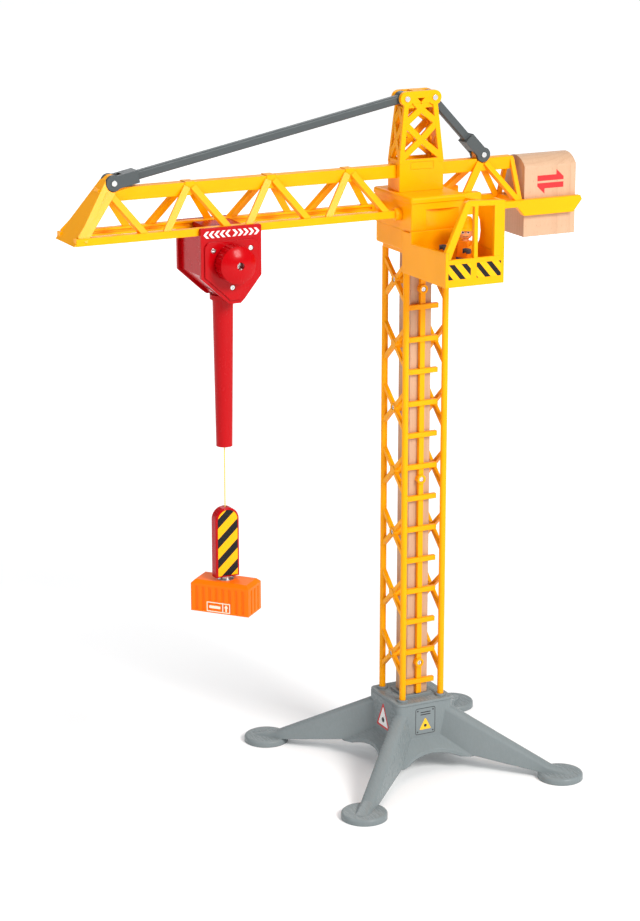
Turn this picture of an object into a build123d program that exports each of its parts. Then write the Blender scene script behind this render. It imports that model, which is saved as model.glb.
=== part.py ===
from build123d import *
import math
import os

# Toy tower crane, millimetres. +Z up. The origin is on the slewing axis at floor
# level, in the middle of the four foot discs. The jib points along -X, the
# counter-jib along +X, and the driver's cab and the ladder are on the -Y side.

# ---------------------------------------------------------------- dimensions
FOOT = 85.3          # foot disc centres at (+-FOOT, +-FOOT)
FOOT_R = 17.5        # foot disc radius
FOOT_T = 5.0         # foot disc thickness
BLK = 24.6           # half width of the base block
BLK_R = 5.0          # corner radius of the base block
DECK_Z = 56.4        # top of the deck plate
DECK_T = 2.2         # deck plate thickness
SOCK_Z = 46.0        # bottom of the post sockets
POST = 16.67         # corner post centres
POST_R = 2.45        # corner post radius
WOOD = 9.0           # half width of the wooden mast
TOWER_TOP = 408.2    # top of posts and wood
X0 = 91.0            # height of the lowest cross
X_PITCH = 49.13      # pitch of the crosses
X_N = 7              # crosses on each side frame
X_H = 14.6           # half height of a cross
RUNG0 = 69.3         # height of the lowest rung
RUNG_PITCH = 24.72   # pitch of the rungs
RUNG_N = 13
SLEW_Z0, SLEW_Z1 = 411.4, 427.0       # lower slewing box
HS_X = 22.5                           # half width of slewing box and housing
HS_Y0, HS_Y1 = -34.5, 24.5            # housing front and rear
ROOF_Z0, ROOF_Z1 = 448.2, 452.4       # roof plate
MAST_X = -0.8        # mast centre in x
MAST_PIN_Z = 520.2   # tie rod pins on the mast head
MAST_PIN_X = 11.5    # half spacing of those pins
J_OUT, J_IN = 18.57, 13.27            # bottom chord faces
J_Z0, J_Z1 = 435.6, 440.9             # bottom chord heights
T_Z0, T_Z1 = 462.5, 471.8             # top chord heights
T_Y = 4.3                             # half width of the top chord
TIP_X = -277.6       # jib tip
NODE1 = -184.4       # outer jib node
BAY = 63.4           # bay length
TIP_PIN = (-242.2, 475.3)             # outer tie rod pin (x, z)
CJ_PIN = (53.6, 474.8)                # counter-jib tie rod pin (x, z)
WX0, WX1, WY = 84.1, 129.0, 14.6      # counterweight block
WZ0, WZ1, WZT = 411.5, 464.4, 472.0
TR_X = -160.7        # trolley centre
TR_HW = 23.5         # trolley plate half width
ST_X = -157.8        # string line in x
KNOB_Z = 415.3       # winding knob axis
HOOK_Z0, HOOK_Z1 = 174.9, 228.3       # magnet holder
CON_Z0, CON_H = 148.5, 24.0           # container bottom and height
CON_L, CON_W = 46.5, 23.6             # container plan size
CON_A = -48.4        # container's turn about the string, degrees
CAB_X = 24.0         # cab half width
CAB_Y0, CAB_Y1 = -88.3, -34.7         # cab front and rear
CAB_Z0 = 396.0       # cab underside
GAP = 0.05           # running clearance on a radius

os.makedirs("parts", exist_ok=True)
made = {}


def save(name, *solids):
    s = solids[0] if len(solids) == 1 else Compound(children=list(solids))
    made[name] = s
    export_step(s, "parts/%s.step" % name)


def bx(x0, x1, y0, y1, z0, z1):
    return Pos((x0 + x1) / 2, (y0 + y1) / 2, (z0 + z1) / 2) * Box(abs(x1 - x0), abs(y1 - y0), abs(z1 - z0))


def bar(p0, p1, w, t, nrm):
    """Flat bar from p0 to p1, w wide, t thick along nrm."""
    a, b = Vector(*p0), Vector(*p1)
    d = b - a
    u = d.normalized()
    n = Vector(*nrm)
    n = (n - u * n.dot(u)).normalized()
    return Plane(origin=(a + b) * 0.5, x_dir=n, z_dir=u).location * Box(t, w, d.length)


def rod(p0, p1, r):
    a, b = Vector(*p0), Vector(*p1)
    d = b - a
    return Plane(origin=(a + b) * 0.5, z_dir=d.normalized()).location * Cylinder(r, d.length)


def xz(pts, y0, y1):
    """Prism of an (x, z) outline between y0 and y1."""
    w = Wire.make_polygon([(x, y1, z) for x, z in pts], close=True)
    return Solid.extrude(Face(w), Vector(0, y0 - y1, 0))


def yz(pts, x0, x1):
    w = Wire.make_polygon([(x0, y, z) for y, z in pts], close=True)
    return Solid.extrude(Face(w), Vector(x1 - x0, 0, 0))


def fil(s, edges, r):
    try:
        return s.fillet(r, edges)
    except Exception as e:
        print("fillet skipped", r, e)
        return s


def rbox(x0, x1, y0, y1, z0, z1, rv=0, rt=0):
    """Box with rounded vertical corners and a rounded top rim."""
    s = bx(x0, x1, y0, y1, z0, z1)
    if rv:
        s = fil(s, s.edges().filter_by(Axis.Z), rv)
    if rt:
        s = fil(s, s.faces().sort_by(Axis.Z)[-1].edges(), rt)
    return s


def one(s):
    ss = [q for q in s.solids() if abs(q.volume) > .05]
    if len(ss) != 1:
        print("   !! solids:", len(ss), [round(q.volume, 2) for q in ss])
    return ss[0] if len(ss) == 1 else s


# ---------------------------------------------------------------- base
block = rbox(-BLK, BLK, -BLK, BLK, 20, DECK_Z - DECK_T, BLK_R)
# sloping skirt between the legs, cut to an arc on each side
skirt = Solid.make_loft([
    Wire.make_polygon([(-44, -44, 12), (44, -44, 12), (44, 44, 12), (-44, 44, 12)], close=True),
    Wire.make_polygon([(-BLK, -BLK, 27), (BLK, -BLK, 27), (BLK, BLK, 27), (-BLK, BLK, 27)], close=True)], True)
for a in range(4):
    skirt -= Rot(0, 0, 90 * a) * Pos(0, -(34.0 + 46), 20) * Cylinder(46, 60)
under = Solid.make_loft([
    Wire.make_polygon([(-40, -40, 11.9), (40, -40, 11.9), (40, 40, 11.9), (-40, 40, 11.9)], close=True),
    Wire.make_polygon([(-BLK + 3, -BLK + 3, 25), (BLK - 3, -BLK + 3, 25), (BLK - 3, BLK - 3, 25), (-BLK + 3, BLK - 3, 25)], close=True)], True)
base = block + skirt


def leg_section(s, z0, z1, wb, wt):
    h = z1 - z0
    r = min(wt / 2 + 1.2, h * .45)
    pts = [(-wb / 2, z0), (wb / 2, z0)]
    for i in range(13):
        t = math.pi * i / 12
        pts.append(((wt / 2 + 1.6) * math.cos(t), z1 - r + r * math.sin(t)))
    return Wire.make_polygon([(s, y, z) for y, z in pts], close=True)


leg = Solid.make_loft([leg_section(22, 17.0, 53.4, 20, 8.6), leg_section(112, 3.9, 9.6, 13, 8.0)], True)
leg += Solid.make_loft([leg_section(112, 3.9, 9.6, 13, 8.0), leg_section(131, 3.2, 5.3, 12, 6.0)], True)
foot_s = FOOT * math.sqrt(2)
for a in range(4):
    base += Rot(0, 0, 45 + 90 * a) * leg
base -= under
for a in range(4):
    f = Pos(foot_s, 0, FOOT_T / 2) * Cylinder(FOOT_R, FOOT_T)
    f = fil(f, f.faces().sort_by(Axis.Z)[-1].edges(), 2.0)
    base += Rot(0, 0, 45 + 90 * a) * f
for sx in (-1, 1):
    for sy in (-1, 1):
        base -= Pos(sx * POST, sy * POST, SOCK_Z + 10) * Cylinder(POST_R + GAP, 20)
base -= bx(-WOOD - GAP, WOOD + GAP, -WOOD - GAP, WOOD + GAP, SOCK_Z, 70)
save("base_frame", one(base))

deck = rbox(-BLK + .2, BLK - .2, -BLK + .2, BLK - .2, DECK_Z - DECK_T, DECK_Z, BLK_R - .2, 0.7)
deck += rbox(-12.4, 12.4, -12.4, 12.4, DECK_Z - 1, DECK_Z + 1.9, 1.5, 0.6)
deck -= bx(-WOOD - .25, WOOD + .25, -WOOD - .25, WOOD + .25, 50, 62)
for sx in (-1, 1):
    for sy in (-1, 1):
        c = Pos(sx * POST, sy * POST, DECK_Z + .3) * Cylinder(4.2, 2.6)
        deck += fil(c, c.faces().sort_by(Axis.Z)[-1].edges(), 0.5)
for sx in (-1, 1):
    for sy in (-1, 1):
        deck -= Pos(sx * POST, sy * POST, DECK_Z) * Cylinder(POST_R + GAP, 12)
save("base_deck", one(deck))

# ---------------------------------------------------------------- tower
XC = [X0 + X_PITCH * k for k in range(X_N)]
RAILB = [84.2, 232.0, 379.1]
wood = bx(-WOOD, WOOD, -WOOD, WOOD, SOCK_Z, TOWER_TOP)
wood = wood.chamfer(0.5, None, wood.edges().filter_by(Axis.Z))
SCREW_R, HEAD_R = 1.1, 1.9
side_screws = []
for k in range(0, X_N, 2):
    for sx in (-1, 1):
        wood -= Pos(sx * 6.5, 0, XC[k]) * Rot(0, 90, 0) * Cylinder(SCREW_R + .04, 5.4)
for z in RAILB:
    wood -= Pos(0, -6.5, z) * Rot(90, 0, 0) * Cylinder(SCREW_R + .04, 5.4)
save("wooden_post", one(wood))


def screw_solid(pos, out, length, r=SCREW_R, hr=HEAD_R, ht=1.2):
    p, o = Vector(*pos), Vector(*out)
    s = Pos(0, 0, -ht / 2) * Cylinder(hr, ht)
    s = fil(s, s.faces().sort_by(Axis.Z)[-1].edges(), 0.35)
    s += Pos(0, 0, -ht / 2 - length / 2) * Cylinder(r, length)
    s -= Box(0.5, 2.2, 0.9)
    s -= Box(2.2, 0.5, 0.9)
    return one(Plane(origin=p, z_dir=o).location * s)


def screw_hole(pos, out, length, r=SCREW_R, hr=HEAD_R, ht=1.2):
    p, o = Vector(*pos), Vector(*out)
    h = Plane(origin=p + o * 2 - o * (ht / 2), z_dir=o).location * Cylinder(hr + .05, ht + 4)
    s = Plane(origin=p - o * (length / 2), z_dir=o).location * Cylinder(r + .04, length + .4)
    return h + s


for sx, nm in ((-1, "tower_side_frame_jib"), (1, "tower_side_frame_rear")):
    f = None
    for sy in (-1, 1):
        p = Pos(sx * POST, sy * POST, (SOCK_Z + TOWER_TOP) / 2) * Cylinder(POST_R, TOWER_TOP - SOCK_Z)
        f = p if f is None else f + p
    for zc in XC:
        parts = []
        for sy in (-1, 1):
            for sz in (-1, 1):
                parts.append(bar((sx * POST, 0, zc), (sx * POST, sy * POST, zc + sz * X_H), 3.1, 3.0, (1, 0, 0)))
        parts.append(rod((sx * (WOOD + .02), 0, zc), (sx * (POST + 1.9), 0, zc), 3.5))
        f = f.fuse(*parts)
    for k, zc in enumerate(XC):
        if k % 2 == 0:
            f -= screw_hole((sx * (POST + 1.4), 0, zc), (sx, 0, 0), 12)
            side_screws.append(screw_solid((sx * (POST + 1.4), 0, zc), (sx, 0, 0), 11.5))
    save(nm, one(f))

# ladder: one rail on the wood's front face, rungs with free ends
lad = bx(-2.1, 2.1, -WOOD - 3.2, -WOOD - .02, 59.0, 398.0)
for i in range(RUNG_N):
    z = RUNG0 + RUNG_PITCH * i
    lad += bx(-12.6, 12.6, -WOOD - 4.4, -WOOD - 1.2, z - 1.9, z + 1.9)
for z in RAILB:
    lad += rod((0, -WOOD - 4.4, z), (0, -WOOD - .02, z), 3.5)
for z in RAILB:
    lad -= screw_hole((0, -WOOD - 3.9, z), (0, -1, 0), 12)
    side_screws.append(screw_solid((0, -WOOD - 3.9, z), (0, -1, 0), 7.5))
save("ladder", one(lad))
save("tower_screws", *side_screws)

# tower cap: joins the four posts and the wood, with the slewing hub on top
cap = rbox(-19, 19, -19, 19, TOWER_TOP, TOWER_TOP + 2.6, 3)
cap += Pos(0, 0, TOWER_TOP + 2.6 + 5.5) * Cylinder(12, 11)
cap -= Pos(0, 0, TOWER_TOP + 8) * Cylinder(3.0 + GAP, 20)
save("tower_cap", one(cap))
# slewing pin through cap hub and floor of the housing, held by a clip
pin = Pos(0, 0, (TOWER_TOP + .1 + 434) / 2) * Cylinder(3.0, 434 - TOWER_TOP - .1)
pin -= Pos(0, 0, 430.6) * (Cylinder(5, 1.2) - Cylinder(2.2, 1.2))
save("slew_pin", one(pin))
clip = Pos(0, 0, 430.6) * (Cylinder(5.2, 1.0) - Cylinder(2.25, 1.0)) - bx(0, 8, -2.1, 2.1, 429, 432)
save("slew_clip", one(clip))

# ---------------------------------------------------------------- superstructure
sb = rbox(-HS_X, HS_X, -HS_X, HS_X, SLEW_Z0, SLEW_Z1, 3.0)
sb = fil(sb, sb.faces().sort_by(Axis.Z)[0].edges(), 1.8)
sb -= bx(-HS_X + 2.2, HS_X - 2.2, -HS_X + 2.2, HS_X - 2.2, SLEW_Z0 + 2.4, SLEW_Z1 + 1)
sb -= Pos(0, 0, SLEW_Z0) * Cylinder(12 + .4, 8)
save("slew_box", one(sb))
# disc that turns on the hub, inside the slewing box, under the housing floor
bush = Pos(0, 0, 424.2) * Cylinder(19.5, 4.2) - Pos(0, 0, 424.2) * Cylinder(3.0 + GAP, 6)
save("slew_bush", one(bush))

hs = rbox(-HS_X, HS_X, HS_Y0, HS_Y1, SLEW_Z1, ROOF_Z0, 1.4)
# shallow hollow behind the driver's back
hs -= Pos(3, HS_Y0 - 21.5, 432) * Cylinder(25.5, 22)
hs -= bx(-HS_X + 2.2, HS_X - 2.2, HS_Y0 + 6.4, HS_Y1 - 2.2, SLEW_Z1 + 2.2, ROOF_Z0 + 1)
hs -= Pos(0, 0, SLEW_Z1) * Cylinder(3.0 + .3, 8)
save("housing", one(hs))
roof = rbox(-HS_X - .8, HS_X + .8, HS_Y0 - .8, HS_Y1 + .8, ROOF_Z0, ROOF_Z1, 2.4)
roof = fil(roof, roof.faces().sort_by(Axis.Z)[-1].edges(), 1.9)
save("roof_plate", one(roof))

# mast: hollow foot, tapering lattice, head with two lug plates
mx = MAST_X
MZ0, MZ1, MZH = ROOF_Z1, 476.0, 514.6
mast = bx(mx - 18.3, mx + 18.3, -9, 9, MZ0, MZ1)
mast -= bx(mx - 15.9, mx + 15.9, -6.6, 6.6, MZ0 + 2, MZ1 + 1)


def mleg(z, k):
    f = (z - MZ1) / (MZH - MZ1)
    return 18.3 + (14.0 - 18.3) * f, 9.0 + (7.5 - 9.0) * f


bars = []
for sx in (-1, 1):
    for sy in (-1, 1):
        a, b = mleg(MZ1 - 3, 0), mleg(MZH + 1, 0)
        bars.append(bar((mx + sx * (a[0] - 1.9), sy * (a[1] - 1.3), MZ1 - 3),
                        (mx + sx * (b[0] - 1.9), sy * (b[1] - 1.3), MZH + 1), 2.6, 3.8, (1, 0, 0)))
zz = [477.0, 489.7, 502.0, 512.2, 519.0]
for sy in (-1, 1):
    for sgn in (-1, 1):
        p = []
        for i, z in enumerate(zz[:4] + [518.0]):
            w, d = mleg(z, 0)
            x = [1, 0, -1, 0, .45][i] * sgn * (w - 2.2)
            p.append((mx + x, sy * (d - 1.25), z))
        for q0, q1 in zip(p[:-1], p[1:]):
            bars.append(bar(q0, q1, 4.7, 2.4, (0, 1, 0)))
for sx in (-1, 1):
    for sgn in (-1, 1):
        p = []
        for i, z in enumerate(zz[:4] + [516.0]):
            w, d = mleg(z, 0)
            y = [1, 0, -1, 0, .5][i] * sgn * (d - 2.0)
            p.append((mx + sx * (w - 1.25), y, z))
        for q0, q1 in zip(p[:-1], p[1:]):
            bars.append(bar(q0, q1, 4.0, 2.2, (1, 0, 0)))
mast = mast.fuse(*bars)
for sy in (-1, 1):
    y0, y1 = (-7.5, -4.3) if sy < 0 else (4.3, 7.5)
    head = bx(mx - MAST_PIN_X, mx + MAST_PIN_X, y0, y1, MAST_PIN_Z - 3.4, MAST_PIN_Z + 5.4)
    for sx in (-1, 1):
        head += rod((mx + sx * MAST_PIN_X, y0, MAST_PIN_Z), (mx + sx * MAST_PIN_X, y1, MAST_PIN_Z), 5.4)
    head -= xz([(mx - 3, MAST_PIN_Z + .2), (mx + 3, MAST_PIN_Z + .2), (mx, MAST_PIN_Z - 3)], y0 - 1, y1 + 1)
    mast += head
mast += bx(mx - 5.0, mx + 5.0, -5, 5, MAST_PIN_Z + 2.2, MAST_PIN_Z + 5.4)
mast += bx(mx - 13, mx + 13, -6.5, -4.3, MZH - 1.5, MZH + 3) + bx(mx - 13, mx + 13, 4.3, 6.5, MZH - 1.5, MZH + 3)
# nothing stands where the rod ends turn between the lug plates
for sx in (-1, 1):
    mast -= rod((mx + sx * MAST_PIN_X, -4.3, MAST_PIN_Z), (mx + sx * MAST_PIN_X, 4.3, MAST_PIN_Z), 6.2)
    mast -= rod((mx + sx * MAST_PIN_X, -9, MAST_PIN_Z), (mx + sx * MAST_PIN_X, 9, MAST_PIN_Z), 1.55)
ulx, ulz = TIP_PIN[0] - (mx - MAST_PIN_X), TIP_PIN[1] - MAST_PIN_Z
mast -= bar((mx - MAST_PIN_X, 0, MAST_PIN_Z), (mx - MAST_PIN_X + ulx * .2, 0, MAST_PIN_Z + ulz * .2), 8.4, 8.0, (0, 1, 0))
usx, usz = CJ_PIN[0] - (mx + MAST_PIN_X), CJ_PIN[1] - MAST_PIN_Z
mast -= bar((mx + MAST_PIN_X, 0, MAST_PIN_Z), (mx + MAST_PIN_X + usx * .5, 0, MAST_PIN_Z + usz * .5), 8.4, 8.0, (0, 1, 0))
# shallow rectangular panel mark on the foot
mast -= bx(mx - 9.2, mx + 9.9, -9.3, -8.75, 468.2, 474.0) - bx(mx - 8.8, mx + 9.5, -9.4, -8.7, 468.6, 473.6)
save("mast", one(mast))

# ---------------------------------------------------------------- jib
FT = 23.8            # half span of an A frame at its feet


def aframe(xn, sides=(-1, 1)):
    out = []
    for sy in (-1, 1):
        for sx in sides:
            out.append(bar((xn + sx * 2.2, sy * 3.9, T_Z1 - 3.5), (xn + sx * FT, sy * 16.4, J_Z1 - 1.6), 5.0, 3.4,
                           (0, sy * .87, .5)))
    return out


jib = bx(TIP_X + 24, mx - 18.4, -T_Y, T_Y, T_Z0, T_Z1)
jp = []
for sy in (-1, 1):
    y0, y1 = (J_IN, J_OUT) if sy > 0 else (-J_OUT, -J_IN)
    c = bx(TIP_X + 1.5, -24, y0, y1, J_Z0, J_Z1)
    c -= bx(TIP_X + 14, -30, sy * (J_IN - 1), sy * (J_IN + 1.5), 437.3, 439.3)
    jp.append(c)
    k = rod((-27.6, sy * 16.4, 438.1), (-HS_X - .02, sy * 16.4, 438.1), 4.7)
    jp.append(fil(k, k.faces().sort_by(Axis.X)[0].edges(), 1.6))
for n in range(3):
    jp += aframe(NODE1 + BAY * n)
    jp.append(bx(NODE1 + BAY * n - 3.6, NODE1 + BAY * n + 3.6, -4.9, 4.9, T_Z1 - 6, T_Z1 + .6))
jp += aframe(NODE1 - BAY, (1,))
jib = jib.fuse(*jp)
# closed end plate and the raking front and rear edges of the tip
AX, AZ = -246.5, 479.0
end = Solid.make_loft([
    Wire.make_polygon([(TIP_X, -J_OUT, J_Z0), (TIP_X, J_OUT, J_Z0), (TIP_X + 5.2, J_OUT, J_Z0), (TIP_X + 5.2, -J_OUT, J_Z0)], close=True),
    Wire.make_polygon([(TIP_X + 29.5, -5.2, 477.5), (TIP_X + 29.5, 5.2, 477.5), (TIP_X + 34.5, 5.2, 477.5), (TIP_X + 34.5, -5.2, 477.5)], close=True)], True)
tip = [end]
for sy in (-1, 1):
    tip.append(bar((TIP_X + 6.2, sy * 16.5, J_Z0 + 3.4), (TIP_X + 33.5, sy * 4.6, 470.5), 7.5, 3.6, (0, sy * .87, .5)))
tip.append(rod((TIP_PIN[0], -3.3, TIP_PIN[1]), (TIP_PIN[0], 3.3, TIP_PIN[1]), 5.4))
tip.append(xz([(TIP_X + 29.5, 477.5), (TIP_PIN[0] - 1.5, 480.6), (TIP_PIN[0] + 2.5, 477), (TIP_PIN[0] + 5.5, T_Z1 - 1), (TIP_X + 27, 470)], -3.3, 3.3))
jib = jib.fuse(*tip)
jib -= rod((TIP_PIN[0], -9, TIP_PIN[1]), (TIP_PIN[0], 9, TIP_PIN[1]), 1.55)
# room for the fork of the long tie rod on both sides of the lug
lux, luz = -ulx, -ulz
ll = math.hypot(lux, luz)
lux, luz = lux / ll, luz / ll
for sy in (-1, 1):
    jib -= rod((TIP_PIN[0], sy * 3.32, TIP_PIN[1]), (TIP_PIN[0], sy * 12, TIP_PIN[1]), 6.2)
    jib -= bar((TIP_PIN[0], sy * 7.65, TIP_PIN[1]), (TIP_PIN[0] + lux * 24, sy * 7.65, TIP_PIN[1] + luz * 24), 12.4, 8.66, (0, 1, 0))
save("jib", one(jib))

# ---------------------------------------------------------------- counter-jib
cj = bx(mx + 18.4, 80.0, -T_Y, T_Y, T_Z0, T_Z1)
cp = []
for sy in (-1, 1):
    y0, y1 = (J_IN, J_OUT) if sy > 0 else (-J_OUT, -J_IN)
    cp.append(bx(HS_X + .02, 68, y0, y1, J_Z0, J_Z1))
    cp.append(rbox(HS_X + .02, 43, min(sy * 13, sy * 21.4), max(sy * 13, sy * 21.4), 433.8, 450.0, 0, 1.0))
    cp.append(bar((CJ_PIN[0] - 2.2, sy * 3.9, T_Z1 - 3.5), (31.5, sy * 16.4, 446), 5.4, 3.4, (0, sy * .87, .5)))
    cp.append(bar((CJ_PIN[0] + 2.2, sy * 3.9, T_Z1 - 3.5), (77.5, sy * 16.4, 439.5), 4.4, 3.4, (0, sy * .87, .5)))
    cp.append(bar((79.0, sy * 3.0, T_Z1 - 1.6), (79.6, sy * 16.4, J_Z0 + 1), 2.6, 3.4, (1, 0, 0)))
    ya, yb = (15.05, 19.8) if sy > 0 else (-19.8, -15.05)
    cp.append(xz([(62, 440.6), (130.6, 440.6), (131.9, 437.6), (124.6, 428.6), (81.6, 428.6), (75.5, 435.6), (62, 435.6)], ya, yb))
    # rib that runs in the groove of the weight
    cp.append(bx(84.5, 126, min(sy * 13.4, sy * 15.2), max(sy * 13.4, sy * 15.2), 433.2, 435.0))
cp.append(bx(77.8, 80.4, -16, 16, J_Z0, J_Z1))
cp.append(rod((CJ_PIN[0], -3.3, CJ_PIN[1]), (CJ_PIN[0], 3.3, CJ_PIN[1]), 5.2))
cp.append(bx(CJ_PIN[0] - 5, CJ_PIN[0] + 5, -3.3, 3.3, T_Z1 - 2, CJ_PIN[1]))
cp.append(bx(CJ_PIN[0] - 5.5, CJ_PIN[0] + 5.5, -4.9, 4.9, T_Z0, T_Z1 - 3.5))
cj = cj.fuse(*cp)
cj -= rod((CJ_PIN[0], -9, CJ_PIN[1]), (CJ_PIN[0], 9, CJ_PIN[1]), 1.55)
sux, suz = -usx, -usz
sl = math.hypot(sux, suz)
sux, suz = sux / sl, suz / sl
for sy in (-1, 1):
    cj -= rod((CJ_PIN[0], sy * 3.32, CJ_PIN[1]), (CJ_PIN[0], sy * 12, CJ_PIN[1]), 6.0)
    cj -= bar((CJ_PIN[0], sy * 7.65, CJ_PIN[1]), (CJ_PIN[0] + sux * 22, sy * 7.65, CJ_PIN[1] + suz * 22), 12.0, 8.66, (0, 1, 0))
cj -= bar((CJ_PIN[0] + sux * 9, 0, CJ_PIN[1] + suz * 9), (CJ_PIN[0] + sux * 24, 0, CJ_PIN[1] + suz * 24), 12.0, 8.66, (0, 1, 0))
cj -= bx(20, HS_X + .84, -40, 40, ROOF_Z0 - .02, ROOF_Z1 + 1)
save("counter_jib", one(cj))

# counterweight: wooden block with an arched top, slides along the tray's ribs
R = (WY ** 2 + (WZT - WZ1) ** 2) / (2 * (WZT - WZ1))
wt = bx(WX0, WX1, -WY, WY, WZ0, WZT) & rod((WX0 - 1, 0, WZT - R), (WX1 + 1, 0, WZT - R), R)
wt = bx(WX0, WX1, -WY, WY, WZ0, WZ1) + (bx(WX0, WX1, -WY, WY, WZ1 - 1, WZT) & rod((WX0 - 1, 0, WZT - R), (WX1 + 1, 0, WZT - R), R))
wt = one(wt)
for sy in (-1, 1):
    wt -= bx(WX0 - 1, WX1 + 1, sy * 13.0, sy * (WY + 1), 432.7, 435.5)
save("counterweight", one(wt))

# ---------------------------------------------------------------- tie rods
def tie(p0, p1, y_end, fork_r, fork_len):
    """Rod from p0 (single eye, mast) to p1 (fork), pins along y."""
    a, b = Vector(p0[0], 0, p0[1]), Vector(p1[0], 0, p1[1])
    u = (b - a).normalized()
    L = (b - a).length
    eye = rod((p0[0], -3.6, p0[1]), (p0[0], 3.6, p0[1]), 5.0)
    e = b - u * fork_len
    shaft = Plane(origin=(a + e) * .5, x_dir=(0, 1, 0), z_dir=u).location * Box(6.0, 6.4, (e - a).length)
    shaft = fil(shaft, [q for q in shaft.edges() if abs(q.length - (e - a).length) < .5], 1.5)
    fork = Plane(origin=b - u * (fork_len / 2), x_dir=(0, 1, 0), z_dir=u).location * Box(2 * y_end, 2 * fork_r - 2.4, fork_len)
    fork += rod((p1[0], -y_end, p1[1]), (p1[0], y_end, p1[1]), fork_r)
    slot = rod((p1[0], -3.4, p1[1]), (p1[0], 3.4, p1[1]), fork_r + 3.2)
    s = eye + shaft + fork
    s -= slot
    for p in (p0, p1):
        s -= rod((p[0], -12, p[1]), (p[0], 12, p[1]), 1.55)
    return one(s)


save("tie_rod_long", tie((mx - MAST_PIN_X, MAST_PIN_Z), TIP_PIN, 6.0, 5.7, 19.0))
save("tie_rod_short", tie((mx + MAST_PIN_X, MAST_PIN_Z), CJ_PIN, 6.0, 5.5, 18.0))
pins = []
for (px, pz), ye in (((mx - MAST_PIN_X, MAST_PIN_Z), 7.5), ((mx + MAST_PIN_X, MAST_PIN_Z), 7.5), (TIP_PIN, 6.0), (CJ_PIN, 6.0)):
    p = rod((px, -ye - .1, pz), (px, ye + .1, pz), 1.5)
    p += rod((px, -ye - .8, pz), (px, -ye - .02, pz), 2.0) + rod((px, ye + .02, pz), (px, ye + .8, pz), 2.0)
    pins.append(one(p))
save("tie_rod_pins", *pins)

# ---------------------------------------------------------------- cab
cx = CAB_X
cab = bx(-cx, cx, CAB_Y0, CAB_Y1, CAB_Z0, CAB_Z0 + 3)
cab += bx(-cx, cx, CAB_Y1 - 2.4, CAB_Y1, CAB_Z0, SLEW_Z1 + 1.0)                      # rear wall
cab += bx(-cx, cx, CAB_Y0, CAB_Y0 + 2.4, CAB_Z0, 416.0)                              # front panel
cab += yz([(CAB_Y0, CAB_Z0), (CAB_Y0, 421.2), (CAB_Y1, 419.2), (CAB_Y1, CAB_Z0)], -cx, -cx + 2.4)   # left wall
cab += yz([(-36, CAB_Z0), (-36, SLEW_Z1 - .3), (-23.2, SLEW_Z1 - .3), (-23.2, CAB_Z0)], -cx, -cx + 1.45)  # cheeks beside the
cab += yz([(-36, CAB_Z0), (-36, SLEW_Z1 - .3), (-23.2, SLEW_Z1 - .3), (-23.2, CAB_Z0)], cx - 1.45, cx)    # slewing box
cab += yz([(CAB_Y0, CAB_Z0), (CAB_Y0, 418.0), (CAB_Y1, 418.0), (CAB_Y1, CAB_Z0)], cx - 2.4, cx)     # right wall
save("cab_shell", one(cab))

# window frame: raked pillar, round top bar, mullion, broad right pillar and the swept side screen
fy0, fy1 = CAB_Y0, CAB_Y0 + 3.2
fr = xz([(-24.0, 416.05), (-20.0, 416.05), (-4.2, 453.4), (20.5, 452.0), (24.0, 452.0), (24.0, 456.0), (-5.0, 457.6), (-8.2, 456.4), (-24.0, 421.5)], fy0, fy1)
fr += bx(-.9, 2.1, fy0, fy1, 416.05, 454.2)
fr += bx(15.6, 24.0, fy0, fy1, 416.05, 453)
fr -= bx(-25, -cx + 2.45, fy0 - 1, fy1 + 1, 410, 421.35)
scr = yz([(fy0, 418.05), (fy0, 455.8), (-75, 455.8), (-66, 453.2), (-55, 450.8), (-44, 449.8), (HS_Y0 - .82, 449.4),
          (HS_Y0 - .82, 446.6), (-44, 446.4), (-52, 443.0), (-56.5, 437), (-58, 429), (-56.5, 422), (-53, 418.05)], cx - 2.4, cx)
fr += scr
fr -= bx(cx - 2.45, cx + 1, fy0 - 1, CAB_Y1, 410, 418.03)
fr = one(fr)
try:
    es = [e for e in fr.edges() if abs(e.center().Y - fy0) < .01 and e.center().Z > 440 and e.length > 12]
    fr = fr.fillet(1.2, es)
except Exception as e:
    print("frame fillet skipped", e)
save("cab_window_frame", one(fr))

# ---------------------------------------------------------------- driver
DX, DY = 8.0, -60.0          # driver's stance
DA = 203.0                   # the way the driver faces, degrees from +X
HEAD_A = 38.0                # how far the head is turned from that
FLOOR = CAB_Z0 + 3.02
D = Pos(DX, DY, 0) * Rot(0, 0, DA)      # local +X is forward, +Y is the driver's left


def dsave(name, s):
    save(name, one(D * s))


lg = rbox(-3.6, 4.4, -5.6, -.3, FLOOR, 411, 1.2) + rbox(-3.6, 4.4, .3, 5.6, FLOOR, 411, 1.2)
lg += rbox(-3.6, 3.6, -5.6, 5.6, 408, 411, 1.2)
dsave("driver_legs", lg)
to = Solid.make_loft([
    Wire.make_polygon([(-3.8, -5.8, 411.02), (3.8, -5.8, 411.02), (3.8, 5.8, 411.02), (-3.8, 5.8, 411.02)], close=True),
    Wire.make_polygon([(-3.2, -5.2, 423.2), (3.2, -5.2, 423.2), (3.2, 5.2, 423.2), (-3.2, 5.2, 423.2)], close=True)], True)
to -= Pos(0, 0, 421.2) * Cylinder(2.1 + GAP, 6)
to = fil(to, to.edges().filter_by(lambda e: abs(e.tangent_at(.5).Z) > .9 and e.length > 9), 1.4)
for sy in (-1, 1):
    to -= Pos(0, sy * 5.4, 419.6) * Rot(90, 0, 0) * Cylinder(1.2 + GAP, 3)
dsave("driver_torso", to)
hd = Pos(0, 0, 424.0) * Cylinder(2.1, 5.2)
hd += Pos(0, 0, 429.4) * Sphere(5.4)
hd -= bx(-9, 9, -9, 9, 434.6, 440)
dsave("driver_head", hd)
dome = Pos(0, 0, 436.1) * Cone(6.2, 4.4, 9.4)
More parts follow.
